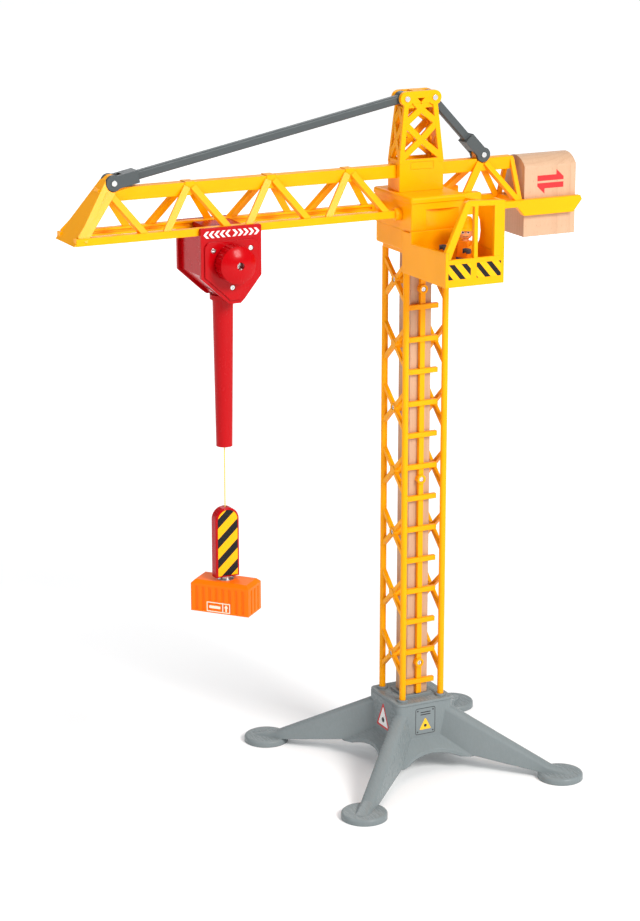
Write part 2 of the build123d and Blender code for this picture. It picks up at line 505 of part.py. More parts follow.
dome = fil(dome, dome.faces().sort_by(Axis.Z)[-1].edges(), 1.8)
hel = dome + Rot(0, 0, HEAD_A) * rbox(0, 8.0, -4.6, 4.6, 431.4, 432.8, 2.0)
hel -= bx(-9, 9, -9, 9, 420, 431.4)
hel -= Pos(0, 0, 429.4) * Sphere(5.45)
hel -= Pos(0, 0, 433.1) * Cylinder(4.0, 3.2)
dsave("driver_helmet", hel)
for sy, nm in ((1, "driver_arm_left"), (-1, "driver_arm_right")):
    arm = Pos(0, sy * 7.15, 419.6) * Rot(90, 0, 0) * Cylinder(2.4, 2.9)
    arm += rod((0, sy * 3.95 + sy * 0.1, 419.6), (0, sy * 7.0, 419.6), 1.2)
    arm += rod((0, sy * 7.4, 419.6), (8.6, sy * 9.6, 418.8), 1.9)
    arm += Pos(8.6, sy * 9.6, 418.8) * Sphere(1.9)
    dsave(nm, arm)
    hnd = Pos(12.1, sy * 10.6, 418.6) * (Cylinder(3.1, 3.2) - Cylinder(1.9, 3.2))
    hnd -= bx(12.6, 17, sy * 10.6 - 1.5, sy * 10.6 + 1.5, 416, 421)
    hnd += rod((9.9, sy * 9.95, 418.75), (10.4, sy * 10.1, 418.7), 1.1)
    cutter = Pos(8.6, sy * 9.6, 418.8) * Sphere(1.95)
    dsave(nm.replace("arm", "hand"), hnd - cutter)

# ---------------------------------------------------------------- trolley
tx = TR_X


def shield(x_in, top, y0, y1):
    """Trolley plate outline, drawn in by x_in."""
    k = x_in
    return xz([(tx - TR_HW + k, top), (tx + TR_HW - k, top), (tx + TR_HW - k, 404.6 + k * .4), (tx + 10.6 - k * .4, 388.7 + k),
               (tx + 7.2, 385.3 + k), (tx - 1.4, 385.3 + k), (tx - 5.6 + k * .4, 388.7 + k), (tx - TR_HW + k, 405.0 + k * .4)], y0, y1)


sc = [(tx - 14.2, 424.8), (tx + 14.8, 424.8), (tx + .4, 397.2)]
for nm, y0, y1, o in (("trolley_front_plate", -22.0, -19.0, -1), ("trolley_rear_plate", 19.0, 22.0, 1)):
    pl = shield(0, 441.0, y0, y1)
    pl = fil(pl, [e for e in pl.edges() if abs(e.tangent_at(.5).Y) > .9], 1.0)
    if o < 0:
        pad = shield(2.6, 431.2, -23.2, -21.9)
        pad = fil(pad, [e for e in pad.edges() if abs(e.tangent_at(.5).Y) > .9 and e.center().Z > 420], 5.0)
        pl += pad
    pl -= rod((tx, -40, KNOB_Z), (tx, 40, KNOB_Z), 2.0 + .07)
    if o < 0:
        for x, z in sc:
            pl -= screw_hole((x, -22.9, z), (0, -1, 0), 8)
    save(nm, one(pl))
bd = shield(2.4, 435.2, -18.95, 18.95)
cav = xz([(tx - TR_HW + 5, 432.6), (tx + TR_HW - 5, 432.6), (tx + TR_HW - 5, 407), (tx + 10, 391.2), (tx - 5, 391.2), (tx - TR_HW + 5, 407)], -16.4, 16.4)
bd -= cav
for x, z in sc[:2]:
    bd += rod((x, -16.6, z), (x, 16.6, z), 3.0)
bd += rod((sc[2][0], -16.6, sc[2][1]), (sc[2][0], -11.5, sc[2][1]), 3.0)
bd += Pos(ST_X, 0, 386.6) * Cylinder(9.6, 3.6)                    # collar round the tube
bd -= Pos(ST_X, 0, 388) * Cylinder(7.85, 12)
bd -= Pos(ST_X, 0, 392.4) * Cylinder(9.5, 2.5)
bd -= rod((tx, -30, KNOB_Z), (tx, 30, KNOB_Z), 2.0 + .07)
for x, z in sc:
    bd -= screw_hole((x, -22.9, z), (0, -1, 0), 11)
# runner between the bottom chords, its ribs in their grooves
bd += bx(tx - 14, tx + 14, -12.7, 12.7, 435.1, 440.2)
for sy in (-1, 1):
    bd += bx(tx - 14, tx + 14, min(sy * 12.5, sy * 14.3), max(sy * 12.5, sy * 14.3), 437.6, 439.0)
save("trolley_body", one(bd))
save("trolley_screws", *[screw_solid((x, -22.9, z), (0, -1, 0), 9.5) for x, z in sc])

dr = rod((tx, -30, KNOB_Z), (tx, 21.6, KNOB_Z), 2.0)
for y in (-8, 7):
    dr += rod((tx, y, KNOB_Z), (tx, y + 1, KNOB_Z), 6.0)
dr -= rod((tx, -30.1, KNOB_Z), (tx, -24.5, KNOB_Z), .85)
save("hoist_drum", one(dr))
kn = one(rod((tx, -23.5, KNOB_Z), (tx, -38.4, KNOB_Z), 13.5) & (Pos(tx, -14.4, KNOB_Z) * Sphere(24)))
for i in range(20):
    a = math.radians(18 * i + 9)
    kn -= rod((tx + 14.6 * math.cos(a), -20, KNOB_Z + 14.6 * math.sin(a)), (tx + 14.6 * math.cos(a), -32.8, KNOB_Z + 14.6 * math.sin(a)), 1.6)
kn -= rod((tx, -23, KNOB_Z), (tx, -30.02, KNOB_Z), 2.0 + .03)
kn -= rod((tx, -29, KNOB_Z), (tx, -40, KNOB_Z), 1.0)
kn -= rod((tx, -32.6, KNOB_Z), (tx, -40, KNOB_Z), 2.7)
save("hoist_knob", one(kn))
ks = rod((tx, -32.62, KNOB_Z), (tx, -34.2, KNOB_Z), 2.4) + rod((tx, -26, KNOB_Z), (tx, -33, KNOB_Z), .8)
ks -= bx(tx - .3, tx + .3, -35, -33.6, KNOB_Z - 1.5, KNOB_Z + 1.5)
ks -= bx(tx - 1.5, tx + 1.5, -35, -33.6, KNOB_Z - .3, KNOB_Z + .3)
save("knob_screw", one(ks))

# guide tube, tapered and hollow, flange inside the trolley
tb = Pos(ST_X, 0, (275 + 391.25) / 2) * Cone(6.0, 7.75, 391.25 - 275)
tb += Pos(ST_X, 0, 392.0) * Cylinder(9.4, 1.5)
tb -= Pos(ST_X, 0, (275 + 393) / 2) * Cone(4.3, 6.1, 393 - 275 + .1)
for sy in (-1,):
    tb -= bar((ST_X + 1.4, sy * 6.35, 277), (ST_X + 1.4, sy * 7.9, 384), .7, 1.6, (1, 0, 0))
save("guide_tube", one(tb))

# ---------------------------------------------------------------- hoist load
STR_BOT, STR_TOP = 216.7, 385.0      # the string's end knot, and its end inside the tube
st = Pos(ST_X, 0, (STR_BOT + STR_TOP) / 2) * Cylinder(.5, STR_TOP - STR_BOT)
save("hoist_string", one(st))
hw = 9.45
for nm, y0, y1 in (("magnet_holder_front", -4.3, -.01), ("magnet_holder_rear", .01, 4.3)):
    h = bx(ST_X - hw, ST_X + hw, y0, y1, HOOK_Z0, HOOK_Z1 - hw) + rod((ST_X, y0, HOOK_Z1 - hw), (ST_X, y1, HOOK_Z1 - hw), hw)
    h = one(h)
    oy = y0 if y0 < -1 else y1
    h = fil(h, [e for e in h.edges() if abs(e.center().Y - oy) < .01], 1.1)
    h -= Pos(ST_X, 0, 226) * Cylinder(.8, 12)
    h -= bx(ST_X - hw + 2, ST_X + hw - 2, -2.2, 2.2, HOOK_Z0 + 12, HOOK_Z1 - 8)
    h -= Pos(ST_X, 0, HOOK_Z0 + 4) * Cylinder(3.85, 8.3)
    save(nm, one(h))
for nm, y0, y1 in (("hazard_label_front", -4.55, -4.31), ("hazard_label_rear", 4.31, 4.55)):
    l = bx(ST_X - 7.9, ST_X + 7.9, y0, y1, HOOK_Z0 + 1.4, HOOK_Z1 - hw) + rod((ST_X, y0, HOOK_Z1 - hw), (ST_X, y1, HOOK_Z1 - hw), 7.9)
    save(nm, one(l))
knot = Pos(ST_X, 0, 218.2) * Sphere(1.7) - Pos(ST_X, 0, 218.2) * Cylinder(.52, 6)
save("string_knot", one(knot))
mg = Pos(ST_X, 0, (172.95 + 182.9) / 2) * Cylinder(3.8, 182.9 - 172.95)
save("magnet", one(mg))

C = Pos(ST_X, 0, CON_Z0) * Rot(0, 0, CON_A)
co = bx(-CON_L / 2, CON_L / 2, -CON_W / 2, CON_W / 2, 0, CON_H)
co = co.chamfer(2.6, None, co.faces().sort_by(Axis.Z)[-1].edges())
co -= bx(-CON_L / 2 + 2.4, CON_L / 2 - 2.4, -CON_W / 2 + 2.4, CON_W / 2 - 2.4, -1, CON_H - 4.2)
for i in range(8):
    x = -CON_L / 2 + 4.6 + (CON_L - 9.2) / 7 * i
    for sy in (-1, 1):
        co -= Pos(x, sy * CON_W / 2, 10.4) * Box(2.2, 1.2, 18)
for sx in (-1, 1):
    for i in range(3):
        co -= Pos(sx * CON_L / 2, -6 + 6 * i, 10.4) * Box(1.2, 2.4, 18)
co -= Pos(0, 0, CON_H) * Cylinder(6.05, 3.2)
save("container", one(C * one(co)))
cf = bx(-CON_L / 2 + 2.45, CON_L / 2 - 2.45, -CON_W / 2 + 2.45, CON_W / 2 - 2.45, .3, 2.3)
save("container_floor", one(C * cf))
sd = Pos(0, 0, CON_H - .6) * Cylinder(6.0, 2.0)
save("container_disc", one(C * sd))

bb = Compound(children=[s for s in made.values()]).bounding_box()
print("nodes", len(made), "box", [round(v, 1) for v in (bb.min.X, bb.min.Y, bb.min.Z, bb.max.X, bb.max.Y, bb.max.Z)])
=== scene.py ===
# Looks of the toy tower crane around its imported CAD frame. Metres, +Z up, the origin on the
# slewing axis at floor level, jib along -X, cab and ladder on the -Y side.
import bpy, bmesh, math
from mathutils import Vector, Matrix
from mathutils.geometry import tessellate_polygon


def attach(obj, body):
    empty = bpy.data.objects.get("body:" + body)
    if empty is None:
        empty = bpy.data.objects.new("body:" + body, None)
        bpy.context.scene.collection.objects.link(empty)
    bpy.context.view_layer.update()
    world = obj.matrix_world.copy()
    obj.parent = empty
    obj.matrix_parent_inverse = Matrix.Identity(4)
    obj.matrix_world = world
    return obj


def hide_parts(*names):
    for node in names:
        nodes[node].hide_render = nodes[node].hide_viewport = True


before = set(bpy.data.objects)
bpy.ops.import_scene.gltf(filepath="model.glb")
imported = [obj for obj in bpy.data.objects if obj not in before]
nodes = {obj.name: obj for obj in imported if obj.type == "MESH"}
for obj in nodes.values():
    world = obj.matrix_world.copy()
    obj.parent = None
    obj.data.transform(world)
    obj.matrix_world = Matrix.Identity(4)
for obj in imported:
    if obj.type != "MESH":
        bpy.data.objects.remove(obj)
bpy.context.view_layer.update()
MM = 0.001


# ------------------------------------------------------------------ camera
AZ, EL = math.radians(-26.4758), math.radians(15.7892)
back = Vector((math.sin(AZ) * math.cos(EL), -math.cos(AZ) * math.cos(EL), math.sin(EL)))
cam_data = bpy.data.cameras.new("camera")
cam_data.lens = 99.07
cam_data.sensor_width = 36
cam_data.clip_start, cam_data.clip_end = 0.05, 60
cam = bpy.data.objects.new("camera", cam_data)
cam.location = Vector((-0.07962, 0.0, 0.25362)) + back * 1.894
cam.rotation_mode = "QUATERNION"
cam.rotation_quaternion = (-back).to_track_quat("-Z", "Y")
bpy.context.scene.collection.objects.link(cam)
bpy.context.scene.camera = cam


# ------------------------------------------------------------------ nodes shorthand
class Tree:
    """A material and short calls to fill its node tree."""

    def __init__(self, name):
        self.m = bpy.data.materials.new(name)
        self.m.use_nodes = True
        self.t = self.m.node_tree
        self.t.nodes.clear()
        self.out = self.t.nodes.new("ShaderNodeOutputMaterial")
        self.p = self.t.nodes.new("ShaderNodeBsdfPrincipled")
        self.t.links.new(self.p.outputs[0], self.out.inputs[0])

    def add(self, kind, ins=None, **props):
        n = self.t.nodes.new(kind)
        for k, v in props.items():
            setattr(n, k, v)
        for k, v in (ins or {}).items():
            self.put(n.inputs[k], v)
        return n

    def put(self, socket, v):
        if isinstance(v, bpy.types.NodeSocket):
            self.t.links.new(v, socket)
        elif isinstance(v, bpy.types.Node):
            self.t.links.new(v.outputs[0], socket)
        elif isinstance(v, (tuple, list)) and len(v) == 3 and socket.type == "RGBA":
            socket.default_value = (*v, 1)
        else:
            socket.default_value = v

    def set(self, name, v):
        self.put(self.p.inputs[name], v)

    def math(self, op, a, b=0.0, c=0.0, clamp=False):
        n = self.t.nodes.new("ShaderNodeMath")
        n.operation, n.use_clamp = op, clamp
        for i, v in enumerate((a, b, c)):
            self.put(n.inputs[i], v)
        return n.outputs[0]

    def vmath(self, op, a, b=(0, 0, 0)):
        n = self.t.nodes.new("ShaderNodeVectorMath")
        n.operation = op
        self.put(n.inputs[0], a)
        self.put(n.inputs[1], b)
        return n

    def mix(self, f, a, b, blend="MIX"):
        n = self.t.nodes.new("ShaderNodeMix")
        n.data_type, n.blend_type = "RGBA", blend
        self.put(n.inputs[0], f)
        self.put(n.inputs[6], a)
        self.put(n.inputs[7], b)
        return n.outputs[2]

    def ramp(self, f, stops, interp="LINEAR"):
        n = self.t.nodes.new("ShaderNodeValToRGB")
        n.color_ramp.interpolation = interp
        e = n.color_ramp.elements
        while len(e) < len(stops):
            e.new(0.5)
        for k, (pos, col) in enumerate(stops):
            e[k].position = pos
            e[k].color = (*col, 1) if isinstance(col, (tuple, list)) else (col, col, col, 1)
        self.put(n.inputs[0], f)
        return n.outputs[0]

    def obj(self):
        return self.add("ShaderNodeTexCoord").outputs["Object"]

    def place(self, v, scale=(1, 1, 1), loc=(0, 0, 0), rot=(0, 0, 0)):
        return self.add("ShaderNodeMapping", {"Vector": v, "Scale": scale, "Location": loc, "Rotation": rot}).outputs[0]

    def noise(self, v, scale, detail=3.0, rough=0.5, dist=0.0):
        return self.add("ShaderNodeTexNoise", {"Vector": v, "Scale": scale, "Detail": detail, "Roughness": rough,
                                               "Distortion": dist}).outputs[0]

    def bump(self, h, strength, distance=0.0002, normal=None):
        ins = {"Height": h, "Strength": strength, "Distance": distance}
        if normal is not None:
            ins["Normal"] = normal
        return self.add("ShaderNodeBump", ins).outputs[0]

    def soft_edges(self, radius):
        """A normal rounded over sharp edges, and how much of an edge a point is."""
        bev = self.add("ShaderNodeBevel", {"Radius": radius}, samples=6).outputs[0]
        geo = self.add("ShaderNodeNewGeometry").outputs["Normal"]
        d = self.vmath("DOT_PRODUCT", bev, geo).outputs["Value"]
        return bev, self.math("SUBTRACT", 1.0, d, clamp=True)


# ------------------------------------------------------------------ materials
def plastic(name, base, deep, light, rough=0.27, coat=0.35, sss=0.0, edge=0.45, bevel=0.0006, grain=0.05, corner_shade=0.35):
    """Glossy moulded plastic: faint flow mottling, lighter edges (a painted highlight broken up by wear),
    painted shade as a deeper colour in corners, fine moulding grain, hairline scratches in the gloss."""
    t = Tree(name)
    co = t.obj()
    flow = t.noise(t.place(co, (1, 1, 0.6)), 26, 3, 0.55, 0.6)
    col = t.mix(t.ramp(flow, [(0.32, 0.0), (0.70, 1.0)]), tuple(c * 0.93 for c in base), base)
    speck = t.noise(co, 2600, 2, 0.6)
    col = t.mix(t.math("MULTIPLY", t.ramp(speck, [(0.62, 0.0), (0.78, 1.0)]), 0.05), col, deep)
    bev, e = t.soft_edges(bevel)
    # edges painted lighter: a painted highlight, broken up by noise that also stands for wear
    wear_and_highlight = t.noise(co, 240, 4, 0.65)
    ef = t.math("MULTIPLY", t.math("MULTIPLY", e, 3.2, clamp=True), t.ramp(wear_and_highlight, [(0.30, 0.25), (0.68, 1.0)]))
    col = t.mix(t.math("MULTIPLY", ef, edge), col, light)
    # painted shade: the deeper colour is mixed into corners and crevices by ambient occlusion
    ao = t.add("ShaderNodeAmbientOcclusion", {"Distance": 0.010}, samples=5).outputs["AO"]
    shade = t.math("MULTIPLY", t.math("POWER", t.math("SUBTRACT", 1.0, ao, clamp=True), 1.6), corner_shade)
    col = t.mix(shade, col, deep)
    t.set("Base Color", col)
    scr = t.noise(t.place(co, (900, 120, 260), rot=(0.5, 0.3, 0.9)), 1.0, 4, 0.7)
    smear = t.noise(co, 70, 3, 0.6)
    r = t.math("ADD", t.math("MULTIPLY", t.ramp(scr, [(0.46, 0.0), (0.74, 1.0)]), 0.10), t.math("MULTIPLY", smear, 0.12))
    t.set("Roughness", t.math("ADD", r, rough - 0.08))
    t.set("Coat Weight", coat)
    t.set("Coat Roughness", 0.12)
    t.set("IOR", 1.5)
    t.set("Specular IOR Level", 0.10)
    if sss:
        t.set("Subsurface Weight", sss)
        t.set("Subsurface Radius", (0.0020, 0.0012, 0.0004))
        t.set("Subsurface Scale", 1.0)
    fine = t.noise(co, 1500, 3, 0.6)
    sink = t.noise(co, 55, 2, 0.5)
    n1 = t.bump(sink, 0.10, 0.0006, bev)
    t.set("Normal", t.bump(fine, grain, 0.00012, n1))
    return t.m


def wood(name, cx, cy, ring=0.0031, tone=1.0, warp=0.0016):
    """Beech with its fibres along Z: growth rings round an axis at (cx, cy), pores and short rays."""
    t = Tree(name)
    co = t.obj()
    sep = t.add("ShaderNodeSeparateXYZ", {0: co})
    x, y, z = sep.outputs
    drift = t.noise(t.place(co, (1, 1, 0.10)), 34, 3, 0.55)
    dx, dy = t.math("SUBTRACT", x, cx), t.math("SUBTRACT", y, cy)
    rr = t.math("SQRT", t.math("ADD", t.math("MULTIPLY", dx, dx), t.math("MULTIPLY", dy, dy)))
    rr = t.math("ADD", rr, t.math("MULTIPLY", drift, warp * 3))
    f = t.math("FRACT", t.math("DIVIDE", rr, ring))
    late = t.ramp(f, [(0.0, 0.15), (0.55, 0.0), (0.86, 0.55), (0.955, 1.0), (1.0, 0.15)])
    a = tuple(c * tone for c in (0.83, 0.515, 0.315))
    b = tuple(c * tone for c in (0.60, 0.315, 0.155))
    c2 = tuple(c * tone for c in (0.90, 0.60, 0.39))
    col = t.mix(t.math("MULTIPLY", late, 0.42), a, b)
    wide = t.noise(t.place(co, (1, 1, 0.16)), 85, 3, 0.6)
    col = t.mix(t.math("MULTIPLY", t.ramp(wide, [(0.35, 0.0), (0.72, 1.0)]), 0.38), col, c2)
    fib = t.noise(t.place(co, (1, 1, 0.035)), 2400, 4, 0.65)
    col = t.mix(t.math("MULTIPLY", t.ramp(fib, [(0.40, 0.0), (0.70, 1.0)]), 0.26), col, b)
    ray = t.noise(t.place(co, (1900, 1900, 330)), 1.0, 2, 0.5)
    dash = t.ramp(ray, [(0.655, 0.0), (0.70, 1.0)])
    col = t.mix(t.math("MULTIPLY", dash, 0.45), col, tuple(c * tone for c in (0.40, 0.19, 0.085)))
    bev, e = t.soft_edges(0.0006)
    # sharp edges painted lighter: a painted highlight along the edges
    col = t.mix(t.math("MULTIPLY", t.math("MULTIPLY", e, 2.5, clamp=True), 0.30), col, c2)
    t.set("Base Color", col)
    t.set("Roughness", t.math("ADD", t.math("MULTIPLY", fib, 0.20), 0.40))
    t.set("Coat Weight", 0.12)
    t.set("Coat Roughness", 0.3)
    h = t.math("ADD", t.math("MULTIPLY", fib, 0.6), t.math("SUBTRACT", t.math("MULTIPLY", late, 0.35), t.math("MULTIPLY", dash, 0.8)))
    t.set("Normal", t.bump(h, 0.22, 0.00010, bev))
    return t.m


def metal(name, base, rough=0.26, aniso=0.0):
    t = Tree(name)
    co = t.obj()
    n = t.noise(co, 1800, 3, 0.6)
    lines = t.noise(t.place(co, (3000, 3000, 160)), 1.0, 3, 0.6)
    col = t.mix(t.ramp(n, [(0.3, 0.0), (0.75, 1.0)]), tuple(c * 0.80 for c in base), base)
    bev, e = t.soft_edges(0.0003)
    # edges painted near white: a painted highlight along the edges
    t.set("Base Color", t.mix(t.math("MULTIPLY", e, 0.8, clamp=True), col, (0.95, 0.95, 0.94)))
    t.set("Metallic", 1.0)
    t.set("Roughness", t.math("ADD", t.math("MULTIPLY", lines, 0.22), rough - 0.10))
    t.set("Normal", t.bump(lines, 0.10, 0.00006, bev))
    return t.m


def stripes(name, slope, x0, z0, period, black, yellow=(1.0, 0.44, 0.000), u="x"):
    """Printed foil of slanting black and yellow bars: lines of height z = z0 + slope * (x - x0)."""
    t = Tree(name)
    co = t.obj()
    sep = t.add("ShaderNodeSeparateXYZ", {0: co})
    x, y, z = sep.outputs
    s = t.math("SUBTRACT", t.math("SUBTRACT", z, z0), t.math("MULTIPLY", t.math("SUBTRACT", x, x0), slope))
    wob = t.math("MULTIPLY", t.math("SUBTRACT", t.noise(co, 900, 2, 0.5), 0.5), 0.00010)
    f = t.math("FRACT", t.math("ADD", t.math("DIVIDE", t.math("ADD", s, wob), period), 40.0))
    k = black
    bar = t.ramp(f, [(0.0, 0.0), (0.004, 1.0), (k - 0.004, 1.0), (k + 0.004, 0.0)])
    bar2 = t.ramp(f, [(0.990, 0.0), (1.0, 1.0)])
    bar = t.math("MAXIMUM", bar, bar2)
    ink = t.noise(co, 1400, 3, 0.6)
    yel = t.mix(t.ramp(ink, [(0.3, 0.0), (0.8, 1.0)]), tuple(c * 0.95 for c in yellow), yellow)
    blk = t.mix(t.ramp(ink, [(0.4, 0.0), (0.8, 1.0)]), (0.004, 0.004, 0.005), (0.018, 0.018, 0.020))
    t.set("Base Color", t.mix(bar, yel, blk))
    t.set("Roughness", t.math("ADD", t.math("MULTIPLY", ink, 0.12), 0.22))
    t.set("Coat Weight", 0.05)
    t.set("Specular IOR Level", 0.15)
    h = t.math("ADD", t.math("MULTIPLY", ink, 0.3), t.math("MULTIPLY", bar, 0.7))
    t.set("Normal", t.bump(h, 0.10, 0.00005))
    return t.m


def print_ink(name, base, rough=0.34):
    """Tampon-printed ink: slightly uneven density and gloss."""
    t = Tree(name)
    co = t.obj()
    ink = t.noise(co, 1700, 4, 0.65)
    big = t.noise(co, 240, 2, 0.5)
    lo = tuple(c * 0.86 for c in base)
    col = t.mix(t.ramp(ink, [(0.34, 0.0), (0.62, 1.0)]), lo, base)
    col = t.mix(t.math("MULTIPLY", big, 0.12), col, lo)
    t.set("Base Color", col)
    t.set("Roughness", t.math("ADD", t.math("MULTIPLY", ink, 0.15), rough - 0.07))
    t.set("Coat Weight", 0.15)
    t.set("Normal", t.bump(ink, 0.08, 0.00005))
    return t.m


def cord_stuff(name):
    """Yellow twisted nylon: slanting strands round the line, each painted darker across its width as painted shade
    between strands, with fine hairs.
    """
    t = Tree(name)
    co = t.obj()
    sep = t.add("ShaderNodeSeparateXYZ", {0: co})
    x, y, z = sep.outputs
    ang = t.math("ARCTAN2", y, t.math("SUBTRACT", x, -0.1578))
    ph = t.math("ADD", t.math("DIVIDE", ang, math.pi), t.math("DIVIDE", z, 0.0016))
    s = t.math("ABSOLUTE", t.math("SUBTRACT", t.math("MULTIPLY", t.math("FRACT", ph), 2.0), 1.0))
    hair = t.noise(t.place(co, (5000, 5000, 900)), 1.0, 2, 0.5)
    # painted shade: each strand is coloured darker towards the groove between strands
    col = t.mix(s, (0.60, 0.34, 0.03), (1.0, 0.74, 0.13))
    col = t.mix(t.math("MULTIPLY", hair, 0.25), col, (1.0, 0.86, 0.40))
    t.set("Base Color", col)
    t.set("Roughness", 0.5)
    t.set("Sheen Weight", 0.3)
    t.set("Normal", t.bump(t.math("ADD", s, t.math("MULTIPLY", hair, 0.3)), 0.6, 0.00012))
    return t.m


M = {}
M["crane_yellow"] = plastic("crane_yellow_moulded", (1.0, 0.395, 0.000), (0.90, 0.205, 0.000), (1.0, 0.48, 0.004), 0.34, 0.05, 0.02, 0.12)
M["base_grey"] = plastic("base_grey_moulded", (0.215, 0.246, 0.252), (0.125, 0.150, 0.157), (0.29, 0.32, 0.325), 0.28, 0.12, 0.0, 0.22, 0.0010, 0.05, 0.45)
M["winch_red"] = plastic("winch_red_moulded", (0.450, 0.0004, 0.003), (0.24, 0.000, 0.001), (0.58, 0.008, 0.014), 0.24, 0.08, 0.0, 0.12, 0.0006, 0.03, 0.45)
M["rod_slate"] = plastic("rod_slate_moulded", (0.076, 0.087, 0.090), (0.036, 0.045, 0.048), (0.13, 0.15, 0.155), 0.34, 0.05, 0.0, 0.3)
M["container_orange"] = plastic("container_orange_moulded", (1.0, 0.170, 0.000), (0.80, 0.088, 0.000), (1.0, 0.24, 0.004), 0.34, 0.05, 0.02, 0.12)
M["bush_white"] = plastic("bush_white_moulded", (0.72, 0.72, 0.70), (0.45, 0.45, 0.43), (0.85, 0.85, 0.84), 0.38, 0.1)
M["driver_trousers"] = plastic("driver_trousers_moulded", (0.030, 0.060, 0.160), (0.012, 0.022, 0.07), (0.10, 0.16, 0.30), 0.38, 0.15)
M["driver_vest"] = plastic("driver_vest_moulded", (0.95, 0.26, 0.004), (0.70, 0.12, 0.0), (1.0, 0.42, 0.05), 0.36, 0.15, 0.05)
M["driver_skin"] = plastic("driver_skin_moulded", (0.86, 0.40, 0.150), (0.62, 0.20, 0.05), (0.95, 0.55, 0.28), 0.36, 0.15, 0.10)
M["driver_helmet_yellow"] = plastic("driver_helmet_moulded", (1.0, 0.390, 0.000), (0.86, 0.20, 0.0), (1.0, 0.48, 0.01), 0.28, 0.08, 0.02, 0.15)
M["driver_glove"] = plastic("driver_glove_moulded", (0.055, 0.058, 0.064), (0.02, 0.02, 0.024), (0.15, 0.15, 0.16), 0.40, 0.15)
M["screw_steel"] = metal("screw_steel_bright", (0.72, 0.72, 0.71), 0.24)
M["magnet_steel"] = metal("magnet_steel_disc", (0.60, 0.60, 0.60), 0.34)
M["beech"] = wood("beech_post", 0.004, 0.060, 0.0034, 0.64)
M["beech_block"] = wood("beech_block", 0.092, 0.075, 0.0036, 0.66, 0.0012)
M["hazard_front"] = stripes("hazard_print_front", 0.92, -0.1657, 0.1823, 0.0155, 0.458)
M["hazard_rear"] = stripes("hazard_print_rear", -0.92, -0.1499, 0.1823, 0.0155, 0.458)
M["string_yellow"] = cord_stuff("string_yellow_twist")
ink_white = print_ink("ink_white", (0.88, 0.88, 0.87))
ink_black = print_ink("ink_black", (0.012, 0.012, 0.014))
ink_red = print_ink("ink_red", (0.62, 0.004, 0.008))
ink_yellow = print_ink("ink_yellow", (1.0, 0.55, 0.004))
ink_cream = print_ink("ink_cream", (0.95, 0.80, 0.62))

BY_NODE = {"counterweight": "beech_block", "hazard_label_front": "hazard_front", "hazard_label_rear": "hazard_rear"}
for name, o in nodes.items():
    for s in o.material_slots:
        key = BY_NODE.get(name)
        if key is None:
            key = (s.material.name if s.material else "").split(".")[0]
        if key not in M:
            print("no material for", name, key)
            key = "crane_yellow"
        s.material = M[key]


# ------------------------------------------------------------------ mesh helpers
def piece(name, bm, body, mat, smooth=False):
    me = bpy.data.meshes.new(name)
    bmesh.ops.recalc_face_normals(bm, faces=bm.faces)
    bm.to_mesh(me)
    bm.free()
    me.materials.append(mat)
    if smooth:
        me.polygons.foreach_set("use_smooth", [True] * len(me.polygons))
    o = bpy.data.objects.new(name, me)
    bpy.context.scene.collection.objects.link(o)
    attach(o, body)
    return o


def prism(bm, loops, t0, t1, at):
    """A flat shape, its outline first and then its holes, given thickness from t0 to t1.
    at(u, v, w) gives the place of a point."""
    pts = [p for lp in loops for p in lp]
    tris = tessellate_polygon([[Vector((p[0], p[1], 0)) for p in lp] for lp in loops])
    lo = [bm.verts.new(at(p[0], p[1], t0)) for p in pts]
    hi = [bm.verts.new(at(p[0], p[1], t1)) for p in pts]
    for a, b, c in tris:
        bm.faces.new((hi[a], hi[b], hi[c]))
        bm.faces.new((lo[c], lo[b], lo[a]))
    k = 0
    for lp in loops:
        n = len(lp)
        for i in range(n):
            j = (i + 1) % n
            bm.faces.new((lo[k + i], lo[k + j], hi[k + j], hi[k + i]))
        k += n


def rrect(x0, x1, y0, y1, r, n=6):
    out = []
    for cx, cy, a in ((x1 - r, y1 - r, 0), (x0 + r, y1 - r, 90), (x0 + r, y0 + r, 180), (x1 - r, y0 + r, 270)):
        for k in range(n + 1):
            b = math.radians(a + 90 * k / n)
            out.append((cx + r * math.cos(b), cy + r * math.sin(b)))
    return out


def ring(cx, cy, r, n=20):
    return [(cx + r * math.cos(2 * math.pi * k / n), cy + r * math.sin(2 * math.pi * k / n)) for k in range(n)]


def round_poly(pts, r, n=5):
    """A polygon with its corners rounded."""
    out = []
    m = len(pts)
    for i in range(m):
        p0, p, p1 = Vector(pts[i - 1]), Vector(pts[i]), Vector(pts[(i + 1) % m])
        a, b = (p0 - p).normalized(), (p1 - p).normalized()
        ang = a.angle(b)
        d = r / math.tan(ang / 2)
        q0, q1 = p + a * d, p + b * d
        c = p + (a + b).normalized() * (r / math.sin(ang / 2))
        v0, v1 = q0 - c, q1 - c
        t0 = math.atan2(v0.y, v0.x)
        dt = math.atan2(v1.y, v1.x) - t0
        while dt > math.pi:
            dt -= 2 * math.pi
        while dt < -math.pi:
            dt += 2 * math.pi
        for k in range(n + 1):
            t = t0 + dt * k / n
            out.append((c.x + r * math.cos(t), c.y + r * math.sin(t)))
    return out


def on_y(y):
    """Places on a face that looks along -Y: u is x, v is z, w stands out, all in millimetres."""
    return lambda u, v, w: Vector((u, y - w, v)) * MM


def on_x(x):
    """Places on a face that looks along -X: u runs along -Y."""
    return lambda u, v, w: Vector((x - w, -u, v)) * MM


